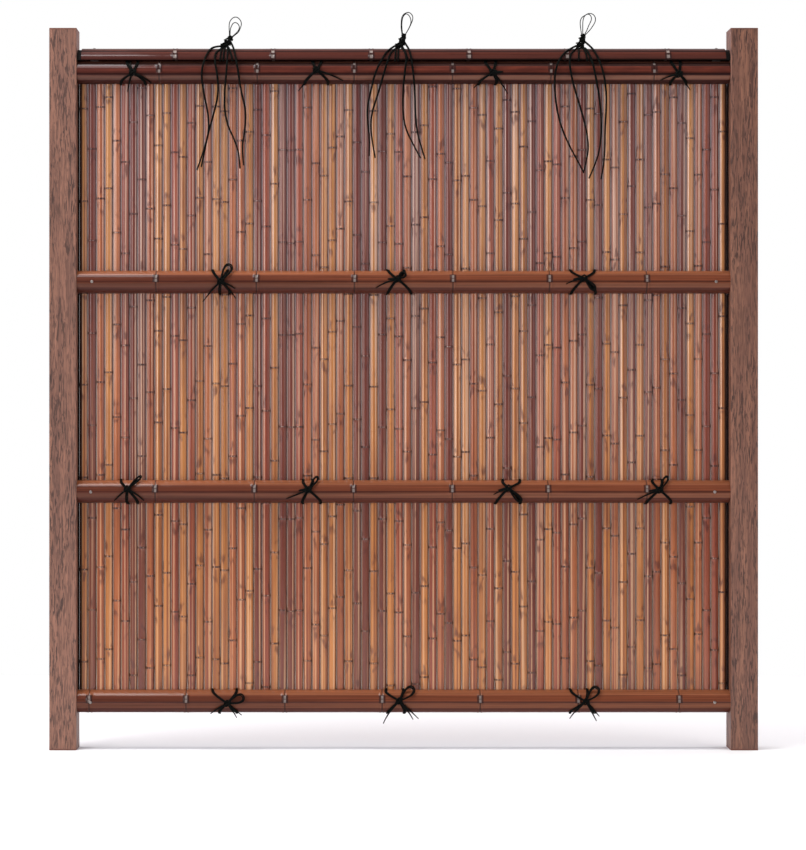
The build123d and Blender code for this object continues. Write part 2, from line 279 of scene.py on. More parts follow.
def ringed(shader, colour, height, marks, glint_reach):
    """A dark patch and a dark line at each node, and painted highlights as grey spots between its rings at
    the given heights.
    """
    distance = shader.attribute("joint")
    upper = shader.times(shader.span(height, -8, 0), shader.span(height, 42, 34))
    patch = shader.times(shader.span(distance, 0.0102, 0.0078), upper)
    colour = shader.mix(shader.times(patch, 0.75), colour, rgb(38, 22, 21))
    line = shader.span(distance, 0.0022, 0.0014)
    colour = shader.mix(shader.times(line, 0.7), colour, rgb(40, 26, 24))
    # Painted highlights on the node ridges
    middle = shader.span(distance, glint_reach + 0.0006, glint_reach - 0.0006)
    for mark in marks:
        away = shader.math("ABSOLUTE", shader.math("SUBTRACT", height, mark))
        ridge_glint = shader.times(shader.span(away, 10, 6), middle)
        colour = shader.mix(shader.times(ridge_glint, 0.72), colour, rgb(138, 126, 120))
    return colour


def rail_lacquer(name, light, dark, bands, marks, glint_reach):
    """Glossy dark smoked bamboo with streaks and painted light and shade bands, redder below its crest
    towards the left.
    """
    shader = Shader(name)
    streak = shader.noise(shader.place((2.5, 300, 300)), detail=4)
    mottle = shader.noise(shader.place((14, 60, 60)), detail=3)
    height = shader.attribute("height")
    colour = shader.mix(shader.span(mottle, 0.3, 0.7), light, dark)
    colour, gloss = light_shade_bands(shader, colour, height, bands)
    leftward = shader.span(shader.coordinate("X"), 0.4, -0.8, 0, 0.55)
    redder = shader.times(leftward, shader.span(height, 38, 30))
    colour = shader.mix(redder, colour, rgb(62, 30, 26))
    colour = shader.shade(colour, shader.span(streak, 0.3, 0.7, 0.74, 1.28, smooth=False))
    colour = ringed(shader, colour, height, marks, glint_reach)
    shader.set(Base_Color=colour, Roughness=0.36, Specular_IOR_Level=0.04)
    shader.set(Coat_Weight=gloss, Coat_Roughness=0.1)
    shader.bump(streak, 0.00006)
    return shader.material


def wood_grain(name, base, dark, seed):
    """Embossed wood-grain film: broad streaks, fine fibres and many short, dark, wavering marks."""
    shader = Shader(name)
    broad = shader.noise(shader.place((70, 70, 2.2), (seed, 0, 0)), detail=2)
    fibre = shader.noise(shader.place((380, 380, 12), (seed, 0, 0)), detail=3, roughness=0.6)
    place = shader.place((270, 270, 28), (seed, 0, 0))
    marks = shader.noise(place, detail=3, roughness=0.55, distortion=0.8)
    thick = shader.noise(shader.place((40, 40, 7), (seed, 0, 0)), detail=2)
    colour = shader.mix(shader.span(broad, 0.38, 0.62, 0, 0.5), base, dark)
    colour = shader.shade(colour, shader.span(fibre, 0.32, 0.68, 0.74, 1.24, smooth=False))
    mark = shader.times(shader.span(marks, 0.48, 0.58), shader.span(thick, 0.34, 0.6, 0.45, 0.95))
    colour = shader.mix(mark, colour, shader.shade(dark, 0.48))
    shader.set(Base_Color=colour, Roughness=0.5)
    shader.bump(shader.math("SUBTRACT", fibre, mark), 0.0003)
    return shader.material


def moulded(name, base, roughness, specular=0.15):
    """Moulded plastic with a fine sparkle and a faint mottle, as dull as rubber without specular."""
    shader = Shader(name)
    grain = shader.noise(shader.place((900, 900, 900)), detail=2)
    mottle = shader.noise(shader.place((25, 25, 25)), detail=3)
    colour = shader.shade(base, shader.span(mottle, 0.3, 0.7, 0.88, 1.12))
    shader.set(Base_Color=colour, Roughness=roughness, Specular_IOR_Level=specular)
    shader.bump(grain, 0.00004)
    return shader.material


def drawn_metal(name, stretch, base=(0.55, 0.55, 0.56, 1.0), roughness=0.42):
    """Extruded aluminium, with draw lines along its length and a dull bloom."""
    shader = Shader(name)
    lines = shader.noise(shader.place(stretch), detail=3)
    bloom = shader.noise(shader.place((9, 9, 9)), detail=4)
    colour = shader.shade(base, shader.span(lines, 0.3, 0.7, 0.92, 1.06, smooth=False))
    colour = shader.shade(colour, shader.span(bloom, 0.3, 0.7, 0.92, 1.05))
    shader.set(Base_Color=colour, Metallic=1.0, Roughness=roughness)
    shader.bump(lines, 0.00003)
    return shader.material


def palm_cord():
    """Black dyed palm-fibre cord: near black, dull, with lighter fibres along the strands."""
    shader = Shader("palm_cord")
    fibre = shader.noise(shader.place((900, 900, 900)), detail=3)
    fade = shader.noise(shader.place((18, 18, 18)), detail=2)
    colour = shader.mix(shader.span(fibre, 0.5, 0.8), rgb(8, 9, 8), rgb(34, 36, 32))
    colour = shader.mix(shader.times(shader.span(fade, 0.4, 0.7), 0.3), colour, rgb(20, 24, 20))
    shader.set(Base_Color=colour, Roughness=0.8, Specular_IOR_Level=0.06)
    shader.bump(fibre, 0.0002)
    return shader.material


def pale_floor():
    """Pale studio floor with the faintest cloudiness."""
    shader = Shader("pale_floor")
    cloud = shader.noise(shader.place((0.8, 0.8, 0.8)), detail=3)
    colour = shader.shade(rgb(244, 244, 244), shader.span(cloud, 0.3, 0.7, 0.98, 1.0))
    shader.set(Base_Color=colour, Roughness=0.7)
    return shader.material


# Painted light and shade bands of the rails and the cap: lit tops, mirrored dark and pale bands, the cap's
# shade on the top rail and shaded lower edges. Each has the lowest and highest degree, the colour and the
# gloss
RAIL_LIGHT_BANDS = (
    (37, 95, (132, 78, 51), 0.6),
    (4, 37, (112, 60, 39), 0.4),
    (-2, 4, (66, 34, 27), 0.3),
    (-31, -5, (120, 73, 52), 0.25),
    (-95, -31, (80, 42, 33), 0.2),
)
TOP_RAIL_LIGHT_BANDS = (
    (50, 95, (112, 68, 54), 0.1),
    # Painted shade of the cap on the top rail
    (27, 52, (44, 29, 26), 0.65),
    (-20, -7, (34, 19, 18), 0.1),
    (-44, -22, (120, 78, 60), 0.35),
    (-95, -47, (50, 29, 26), 0.1),
)
CAP_LIGHT_BANDS = (
    (57, 95, (66, 50, 45), 0.2),
    (40, 50, (36, 22, 21), 0.05),
    (25, 40, (74, 36, 28), 0.05),
    (7, 22, (74, 36, 28), 0.9),
    # A near-black painted shadow along the cap's lower edge
    (-5, 5, (17, 13, 12), 0.0),
)
SLAT = smoked_slat()
# The last two values of each are the heights round it and the distance from a node of its painted ridge
# highlights
RAIL = rail_lacquer("rail_lacquer", rgb(112, 60, 39), rgb(90, 47, 33), RAIL_LIGHT_BANDS, (7, 26), 0.0032)
TOP_RAIL = rail_lacquer("top_rail_lacquer", rgb(98, 46, 34), rgb(80, 38, 30), TOP_RAIL_LIGHT_BANDS, (0, 42), 0.0032)
CAP = rail_lacquer("cap_lacquer", rgb(74, 36, 28), rgb(58, 30, 25), CAP_LIGHT_BANDS, (16, 42), 0.0042)
CORD = palm_cord()
LEFT_POST = wood_grain("left_post_film", rgb(141, 98, 80), rgb(96, 65, 56), 0.0)
RIGHT_POST = wood_grain("right_post_film", rgb(140, 96, 76), rgb(98, 64, 54), 3.7)
PLUG = moulded("post_plug_plastic", rgb(112, 74, 62), 0.5)
BLACK = moulded("black_plastic", rgb(12, 9, 8), 0.75)
# The edge strips beside the posts are near black and dull as painted shade of the posts
EDGE_STRIP_SHADE = moulded("edge_strip_painted_shade", rgb(28, 20, 18), 0.9, 0.0)
TUBE = drawn_metal("tube_metal", (4, 500, 500))
ANGLE = drawn_metal("angle_metal", (500, 500, 6))
SCREW = drawn_metal("screw_metal", (300, 300, 300), (0.42, 0.38, 0.35, 1.0), 0.35)


def piece(name, points, faces, slot, material, sharp_angle=40, **attributes):
    """A mesh object that rides on the fence. Each attribute has a number, or a colour, for each point."""
    mesh = bpy.data.meshes.new(name)
    mesh.from_pydata([tuple(p) for p in points], [], faces)
    mesh.validate()
    for key, values in attributes.items():
        values = np.asarray(values, np.float32)
        kind = "FLOAT" if values.ndim == 1 else "FLOAT_COLOR"
        field = "value" if values.ndim == 1 else "color"
        mesh.attributes.new(key, kind, "POINT").data.foreach_set(field, values.ravel())
    mesh.shade_smooth()
    mesh.set_sharp_from_angle(angle=math.radians(sharp_angle))
    mesh.materials.append(material)
    thing = bpy.data.objects.new(name, mesh)
    bpy.context.scene.collection.objects.link(thing)
    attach(thing, "root")
    return thing


def tube_faces(first, rings, count):
    """Quads between rings of points, and a face on each end."""
    faces = []
    for ring in range(rings - 1):
        start = first + ring * count
        for k in range(count):
            after = (k + 1) % count
            faces.append((start + k, start + after, start + count + after, start + count + k))
    faces.append(tuple(range(first + count - 1, first - 1, -1)))
    last = first + (rings - 1) * count
    faces.append(tuple(range(last, last + count)))
    return faces


def drawn_out(section, normals, places, rises, along, origin):
    """A section drawn out along an axis, each ring of it swollen along the section's normals."""
    rings = []
    for place, rise in zip(places, rises):
        flat = section + normals * rise
        ring = np.empty((len(section), 3))
        if along == "z":
            ring[:, 0], ring[:, 1], ring[:, 2] = flat[:, 0], flat[:, 1], place
        else:
            ring[:, 0], ring[:, 1], ring[:, 2] = place, flat[:, 0], flat[:, 1]
        rings.append(ring + origin)
    return np.concatenate(rings)


def ring_places(nodes, low, high, profile):
    """Where rings of points go along a bamboo, how much each swells, and how far it is from a node."""
    places = [(low, 0.0)]
    for node in nodes:
        places += [(node + shift * MM, rise * MM) for shift, rise in profile]
    places += [((a + b) / 2, 0.0) for a, b in zip(nodes, nodes[1:])]
    places.append((high, 0.0))
    places = sorted(p for p in places if low <= p[0] <= high)
    joints = [min(abs(place - node) for node in nodes) for place, _ in places]
    return [p for p, _ in places], [r for _, r in places], joints


# Slats. A profile is how far from a node each ring of points is, and how much it swells, in millimetres.
SLAT_PROFILE = (
    (-28, 0), (-9, 0.05), (-4, 0.12), (-2.6, 0.3), (-1.7, 0.5), (-0.9, 0.42), (0, 0.25),
    (0.9, 0.42), (1.7, 0.5), (2.6, 0.3), (4, 0.12), (9, 0.05), (28, 0),
)
SLAT_ARC_STEPS = 16
SLAT_WALL = 2.4 * MM
SLAT_HOLLOW_TOP = 3.5 * MM
SLAT_GAP = 0.2 * MM
SLATS_PER_BAY = len(BAY_COLOURS)
WIDTH_VARIETY = 0.04
TONE_VARIETY = 0.12
NODE_SHIFT = 2 * MM
NODE_MARGIN = 8 * MM


def slat_section(width, rise):
    """The slat's outline, its rounded face first, and the way each point of that face swells."""
    radius = ((width / 2) ** 2 + rise**2) / (2 * rise)
    reach = math.asin(width / 2 / radius)
    angles = np.linspace(-reach, reach, SLAT_ARC_STEPS + 1)
    normals = np.stack([np.sin(angles), -np.cos(angles)], 1)
    face = np.array([0, radius]) + normals * radius
    mouth = width / 2 - SLAT_WALL
    hollow = [(mouth, rise), (SLAT_HOLLOW_TOP, SLAT_WALL), (-SLAT_HOLLOW_TOP, SLAT_WALL), (-mouth, rise)]
    outline = np.concatenate([face, hollow])
    swell = np.concatenate([normals, np.zeros((len(hollow), 2))])
    return outline, swell


slat_valleys = []


def make_slats(bay):
    """Thirteen slats side by side, each with its own colour, nodes and small differences in width."""
    low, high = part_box(f"slat_bay_{bay + 1}")
    shares = rng.uniform(1 - WIDTH_VARIETY, 1 + WIDTH_VARIETY, SLATS_PER_BAY)
    pitches = shares / shares.sum() * (high.x - low.x + SLAT_GAP)
    edges = low.x - SLAT_GAP / 2 + np.concatenate([[0], np.cumsum(pitches)])
    slat_valleys.extend(edges)
    points, faces, tones, joints, chances, places_across = [], [], [], [], [], []
    for number, tone in enumerate(colour_rng.permutation(BAY_COLOURS)):
        width = pitches[number] - SLAT_GAP
        outline, swell = slat_section(width, high.y - low.y)
        first_node = node_rng.uniform(0, NODE_PERIOD)
        count = int((high.z - first_node) / NODE_PERIOD) + 1
        nodes = [first_node + k * NODE_PERIOD for k in range(-1, count)]
        nodes = [z for z in nodes if low.z + NODE_MARGIN < z < high.z - NODE_MARGIN]
        nodes = [z + rng.uniform(-NODE_SHIFT, NODE_SHIFT) for z in nodes]
        places, rises, distances = ring_places(nodes, low.z, high.z, SLAT_PROFILE)
        origin = ((edges[number] + edges[number + 1]) / 2, low.y, 0)
        start = sum(len(p) for p in points)
        points.append(drawn_out(outline, swell, places, rises, "z", origin))
        faces += tube_faces(start, len(places), len(outline))
        colour = np.array(rgb(*tone))
        colour[:3] *= rng.uniform(1 - TONE_VARIETY, 1 + TONE_VARIETY)
        size = len(places) * len(outline)
        tones.append(np.tile(colour, (size, 1)))
        joints.append(np.repeat(distances, len(outline)))
        chances.append(np.full(size, rng.uniform()))
        places_across.append(np.tile(outline[:, 0] / (width / 2), len(places)))
    slats = piece(f"slats_{bay + 1}", np.concatenate(points), faces, "slats", SLAT,
                  tone=np.concatenate(tones), joint=np.concatenate(joints), chance=np.concatenate(chances),
                  across=np.concatenate(places_across))
    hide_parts(f"slat_bay_{bay + 1}")


# Rails and cap
RAIL_PROFILE = (
    (-32, 0), (-13, 0.12), (-7.2, 0.25), (-6.1, 0.8), (-4.9, 1.05), (-3.7, 0.8), (-2.6, 0.3), (0, 0.2),
    (2.6, 0.3), (3.7, 0.8), (4.9, 1.05), (6.1, 0.8), (7.2, 0.25), (13, 0.12), (32, 0),
)
RAIL_RADIUS = 31.5 * MM
RAIL_WALL = 3.0 * MM
RAIL_ARC_STEPS = 40
BORE_ARC_STEPS = 12
CAP_STRETCH = 1.12
CREST_SLACK = 0.05 * MM
NODE_SPREAD = 1 * MM


def half_round(start_angle):
    """A half-split hollow bamboo's outline as across and up, round the outside and back inside."""
    angles = np.radians(np.linspace(start_angle, start_angle - 180, RAIL_ARC_STEPS + 1))
    outside = np.stack([np.cos(angles), np.sin(angles)], 1)
    angles = np.radians(np.linspace(start_angle - 180, start_angle, BORE_ARC_STEPS + 1))
    inside = np.stack([np.cos(angles), np.sin(angles)], 1)
    outline = np.concatenate([outside * RAIL_RADIUS, inside * (RAIL_RADIUS - RAIL_WALL)])
    return outline, np.concatenate([outside, inside * 0])


def crest_places(node, axis_y, axis_z):
    """Where the frame's bamboo stands out most from its axis: its nodes."""
    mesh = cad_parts[node].data
    reach = [(math.hypot(v.co.y - axis_y, v.co.z - axis_z), v.co.x) for v in mesh.vertices]
    limit = max(r for r, _ in reach) - CREST_SLACK
    places = []
    for x in sorted(x for r, x in reach if r > limit):
        if not places or x - places[-1] > NODE_SPREAD:
            places.append(x)
    return places


def make_bamboo(node, axis_y, axis_z, start_angle, material, stretch=1.0):
    """A rail or the cap, in place of its plain solid, and made taller by a factor."""
    low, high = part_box(node)
    nodes = crest_places(node, axis_y, axis_z)
    places, rises, distances = ring_places(nodes, low.x, high.x, RAIL_PROFILE)
    outline, swell = half_round(start_angle)
    heights = np.degrees(np.arctan2(outline[:, 1], np.abs(outline[:, 0])))
    points = drawn_out(outline * (1, stretch), swell, places, rises, "x", (0, axis_y, axis_z))
    faces = tube_faces(0, len(places), len(outline))
    bamboo = piece(node + "_bamboo", points, faces, "rails", material,
                   joint=np.repeat(distances, len(outline)), height=np.tile(heights, len(places)))
    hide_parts(node)


for bay in range(BAYS):
    make_slats(bay)
rail_axes = {}
for name in ("bottom_rail", "lower_middle_rail", "upper_middle_rail", "top_rail"):
    low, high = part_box(name)
    rail_axes[name] = (high.y, (low.z + high.z) / 2)
    make_bamboo(name, *rail_axes[name], 270, TOP_RAIL if name == "top_rail" else RAIL)
low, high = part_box("cap_bamboo")
cap_axis = (0.0, low.z)
make_bamboo("cap_bamboo", *cap_axis, 180, CAP, CAP_STRETCH)


# Cord
CORD_RADIUS = 2.2 * MM
TURN_RADIUS = CORD_RADIUS * 0.9
CAP_TURN_RADIUS = CORD_RADIUS * 1.2
TAIL_RADIUS = CORD_RADIUS * 1.35
THIN_RADIUS = 1.3 * MM
ROPE_STRANDS = 3
ROPE_SIDES = 12
ROPE_GROOVE = 0.2
ROPE_LAY = 12.0 * MM
ROPE_STEP = 1.4 * MM
TAPER_START = 0.4
TIP_SHARE = 0.55
ROUTE_RESOLUTION = 24


def smooth_line(points):
    """Points along the smooth curve that has the given route as its control points."""
    curve = bpy.data.curves.new("route", "CURVE")
    curve.dimensions = "3D"
    spline = curve.splines.new("NURBS")
    spline.points.add(len(points) - 1)
    for target, point in zip(spline.points, points):
        target.co = (*point, 1.0)
    spline.order_u = 3
    spline.use_endpoint_u = True
    spline.resolution_u = ROUTE_RESOLUTION
    holder = bpy.data.objects.new("route", curve)
    mesh = bpy.data.meshes.new_from_object(holder)
    line = [v.co.copy() for v in mesh.vertices]
    bpy.data.objects.remove(holder)
    bpy.data.meshes.remove(mesh)
    bpy.data.curves.remove(curve)
    return line


def even_steps(line, step):
    """Points at equal steps along a line."""
    line = np.array(line)
    runs = np.linalg.norm(np.diff(line, axis=0), axis=1)
    reach = np.concatenate([[0], np.cumsum(runs)])
    stations = np.linspace(0, reach[-1], max(4, int(reach[-1] / step) + 1))
    return np.stack([np.interp(stations, reach, line[:, k]) for k in range(3)], 1), stations


def rope(points, radius, end_radius=None):
    """Twisted three-strand cord along a route: its points and faces, with blunt closed ends."""
    line, stations = even_steps(smooth_line(points), ROPE_STEP)
    radii = np.interp(stations, [TAPER_START * stations[-1], stations[-1]], [radius, end_radius or radius])
    ahead = np.gradient(line, axis=0)
    ahead /= np.linalg.norm(ahead, axis=1)[:, None]
    side = np.cross(ahead[0], (0.3, 0.5, 0.8))
    rings = []
    for centre, direction, station, size in zip(line, ahead, stations, radii):
        side = side - direction * side.dot(direction)
        side /= np.linalg.norm(side)
        other = np.cross(direction, side)
        around = np.linspace(0, 2 * math.pi, ROPE_SIDES, endpoint=False)
        bulge = np.abs(np.cos(ROPE_STRANDS / 2 * (around - 2 * math.pi * station / ROPE_LAY)))
        reach = size * (1 - ROPE_GROOVE + ROPE_GROOVE * bulge)
        end = min(station, stations[-1] - station)
        reach = reach * min(1.0, TIP_SHARE + end / radius)
        circle = np.cos(around)[:, None] * side + np.sin(around)[:, None] * other
        rings.append(centre + reach[:, None] * circle)
    return np.concatenate(rings), tube_faces(0, len(rings), ROPE_SIDES)


def rope_piece(name, strands):
    """Several cords as one piece. Each strand is a route, its radius and the radius at its end."""
    points, faces = [], []
    start = 0
    for route, radius, end_radius in strands:
        ring_points, ring_faces = rope(route, radius, end_radius)
        points.append(ring_points)
        faces += [tuple(start + k for k in face) for face in ring_faces]
        start += len(ring_points)
    return piece(name, np.concatenate(points), faces, "palm_cord", CORD, sharp_angle=75)


# Rail ties, in millimetres: the place along the rail, then from there the knot, where the two turns of cord
# go over the rail's top and under its bottom, the tip and the width of the loop if there is one, and the ends
RAIL_TIES = {
    "top_rail": (
        (-744, (-1, -5), (-25, 17), (-32, 30), None, ((-18, -55), (50, -32), (-8, 30))),
        (-235, (-5, 2), (-13, 13), (-30, 27), None, ((-56, -53), (69, -26))),
        (240, (5, -5), (-21, 17), (-27, 22), None, ((-46, -44), (48, -60), (34, -2))),
        (755, (2, -9), (-18, 11), (-18, 18), None, ((-48, -25), (37, -50))),
    ),
    "upper_middle_rail": (
        (-499, (-4, 0), (-21, 8), (-9, 25), ((21, 47), 24), ((-55, -55), (37, -46), (36, -20))),
        (-12, (-5, 7), (-23, 18), (-25, 27), ((16, 24), 18), ((-65, -18), (-32, 7))),
        (496, (0, 9), (-30, 27), (-27, 34), ((30, -22), 15), ((-50, -7), (-30, 6))),
    ),
    "lower_middle_rail": (
        (-760, (0, 9), (-15, 14), (-9, 30), ((36, 43), 9), ((-37, -25), (46, -25))),
        (-257, (-5, 6), (-21, 10), (-25, 32), ((20, 41), 12), ((-66, -19), (-32, 4))),
        (293, (-5, 11), (-25, 27), (-34, 32), ((30, -26), 15), ((-46, -7), (-33, 5))),
        (705, (-1, 6), (-25, 8), (-30, 34), ((23, 42), 13), ((-62, -21), (-30, 3))),
    ),
    "bottom_rail": (
        (-483, (-2, -2), (-39, 23), (-27, 23), ((43, 16), 24), ((-50, -34), (23, -45), (37, -38))),
        (-12, (0, 5), (-41, 10), (-27, 21), ((39, 39), 24), ((-44, -61), (39, -50), (54, -48))),
        (499, (2, 3), (-34, 10), (-40, 23), ((37, 39), 24), ((-41, -48), (34, -54), (42, -41))),
    ),
}
# A loop's points: how far along it, and how far aside as a share of its width
LOOP_SHAPE = (
    (0.25, 0.22), (0.6, 0.46), (0.88, 0.48), (1.02, 0.2),
    (1.02, -0.2), (0.88, -0.48), (0.6, -0.46), (0.25, -0.2),
)
# The inner one of a tie's two loops: its length and its width as shares of the outer one's
INNER_LOOP = (0.92, 0.78)
LOOP_LIFTS = (5 * MM, 6 * MM)
RAIL_KNOT = (23 * MM, 21 * MM, 10 * MM)
WRAP_CLEARANCE = 0.5 * MM
LEAST_REACH = 12 * MM
PAIR_OFFSET = 1.8 * MM
KNOT_LIFT = 2 * MM
KNOT_DEPTH = 3 * MM
# A free end shorter than this is a stub. The radii are at an end's start and at its tip.
STUB_LENGTH = 32 * MM
STUB_RADII = (CORD_RADIUS * 1.8, CORD_RADIUS)
END_RADII = (CORD_RADIUS * 1.25, THIN_RADIUS)
# How far a free end lies off its rail on its way, in millimetres
END_LIFTS = ((0.0, 3), (0.25, 4), (0.5, 3), (0.75, 2), (1.0, 1))
MOST_BEND = 0.05
# Where a turn of cord leaves the rail's front, as a share of its radius, how it bends on its way there, and
# how far behind the rail's back its last two points lie
EDGE_SHARE = 0.86
TURN_BEND = 1.15
ENTRY_DEPTHS = (-8 * MM, 1 * MM)


def before_rail(axis, x, height, lift=0.0):
    """The point where a cord lies on a rail's front at a height from the rail's axis, or lifted off it."""
    circle = RAIL_RADIUS + CORD_RADIUS + WRAP_CLEARANCE
    reach = math.sqrt(max(circle**2 - height**2, LEAST_REACH**2))
    return (x, axis[0] - reach - lift, axis[1] + height)


def half_turn(axis, knot, x_edge, above, aside):
    """One cord of a turn, set aside from its middle, from the knot to the rail's edge and in behind it."""
    way = 1 if above else -1
    valley = min(slat_valleys, key=lambda x: abs(x - x_edge)) + aside * 0.5
    x_edge = (x_edge + valley) / 2 + aside
    x_knot = knot[0] + aside
    edge = RAIL_RADIUS * EDGE_SHARE * way
    route = [before_rail(axis, x_knot, knot[1], KNOT_LIFT)]
    for part in (0.33, 0.66, 1.0):
        bow = 1 - (1 - part) ** TURN_BEND
        route.append(before_rail(axis, x_knot + (x_edge - x_knot) * bow, knot[1] + (edge - knot[1]) * part))
    outside = RAIL_RADIUS + CORD_RADIUS + WRAP_CLEARANCE
    front, back = ENTRY_DEPTHS
    route.append(((x_edge + valley) / 2, axis[0] + front, axis[1] + outside * way))
    route.append((valley, axis[0] + back, axis[1] + (outside - back) * way))
    return route


def free_end(axis, knot, end):
    """A cord from the knot to where it ends, bending a little, and lifted off the rail on its way."""
    across, up = end[0] - knot[0], end[1] - knot[1]
    bend = rng.uniform(0.0, MOST_BEND) * (-1 if across * up > 0 else 1)
    route = []
    for part, lift in END_LIFTS:
        aside = bend * math.sin(math.pi * part)
        x, height = knot[0] + across * part - up * aside, knot[1] + up * part + across * aside
        route.append(before_rail(axis, x, height, lift * MM))
    return route


def loop_of(axis, knot, tip, width, lift):
    """A loop that starts and ends in the knot."""
    ahead = np.array(tip) - np.array(knot)
    aside = np.array([-ahead[1], ahead[0]]) / np.linalg.norm(ahead) * width
    route = [before_rail(axis, *knot, KNOT_LIFT)]
    for part, sideways in LOOP_SHAPE:
        x, height = np.array(knot) + ahead * part + aside * sideways
        route.append(before_rail(axis, x, height, lift * (0.4 + part)))
    route.append(before_rail(axis, *knot, 2 * KNOT_LIFT))
    return route


# A knot's cords as shares of its width, depth and height, with the thick one inside it last
KNOT_PATHS = (
    ((-0.5, 0.3, 0.3), (-0.35, -0.25, 0.3), (0, -0.45, 0.05), (0.35, -0.3, -0.25), (0.5, 0.2, -0.35)),
    ((-0.5, 0.2, -0.35), (-0.35, -0.3, -0.25), (0, -0.6, 0), (0.35, -0.3, 0.3), (0.5, 0.2, 0.35)),
    ((-0.3, 0.4, -0.5), (-0.42, -0.2, -0.3), (-0.38, -0.5, 0.1), (-0.15, -0.5, 0.42), (0.1, -0.1, 0.5)),
    ((0.32, 0.4, -0.5), (0.4, -0.25, -0.3), (0.36, -0.5, 0.05), (0.2, -0.45, 0.4), (-0.1, 0.0, 0.5)),
    ((-0.2, 0.3, -0.5), (0.0, -0.4, -0.42), (0.25, -0.5, -0.2), (0.42, -0.2, 0.1), (0.4, 0.3, 0.3)),
    ((-0.4, 0, -0.12), (-0.15, 0, -0.045), (0.15, 0, 0.045), (0.4, 0, 0.12)),
)
KNOT_INSET = 1.4 * CORD_RADIUS
CORE_SHARE = 0.36


def knot_strands(centre, width, height, depth):
    """Cords that go round each other, and a thick one inside that fills the knot."""
    size = np.array([width - KNOT_INSET, depth, height - KNOT_INSET])
    routes = [[tuple(np.array(centre) + np.array(point) * size) for point in path] for path in KNOT_PATHS]
    strands = [(route, CORD_RADIUS, None) for route in routes[:-1]]
    strands.append((routes[-1], min(height, depth) * CORE_SHARE, None))
    return strands


def make_rail_ties(rail_name):
    """The ties on one rail: two turns that meet in a knot, most with a loop, and their free ends."""
    axis = rail_axes[rail_name]
    strands = []
    for place, knot, tops, bottoms, loop, ends in RAIL_TIES[rail_name]:
        knot = ((place + knot[0]) * MM, knot[1] * MM)
        for edges, above in ((tops, True), (bottoms, False)):
            for edge in edges:
                for aside in (-PAIR_OFFSET, PAIR_OFFSET):
                    route = half_turn(axis, knot, (place + edge) * MM, above, aside)
                    strands.append((route, TURN_RADIUS, None))
        centre = before_rail(axis, *knot, KNOT_DEPTH)
        strands += knot_strands(centre, *RAIL_KNOT)
        if loop:
            (x, height), width = loop
            tip = ((place + x) * MM, height * MM)
            strands.append((loop_of(axis, knot, tip, width * MM, LOOP_LIFTS[0]), CORD_RADIUS, None))
            inner_reach, inner_width = INNER_LOOP
            inner = [start + (end - start) * inner_reach for start, end in zip(knot, tip)]
            route = loop_of(axis, knot, inner, width * inner_width * MM, LOOP_LIFTS[1])
            strands.append((route, TURN_RADIUS, None))
        for x, height in ends:
            end = ((place + x) * MM, height * MM)
            stub = math.dist(knot, end) < STUB_LENGTH
            strands.append((free_end(axis, knot, end), *(STUB_RADII if stub else END_RADII)))
    ties = rope_piece(rail_name + "_cords", strands)
    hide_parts(rail_name + "_ties")


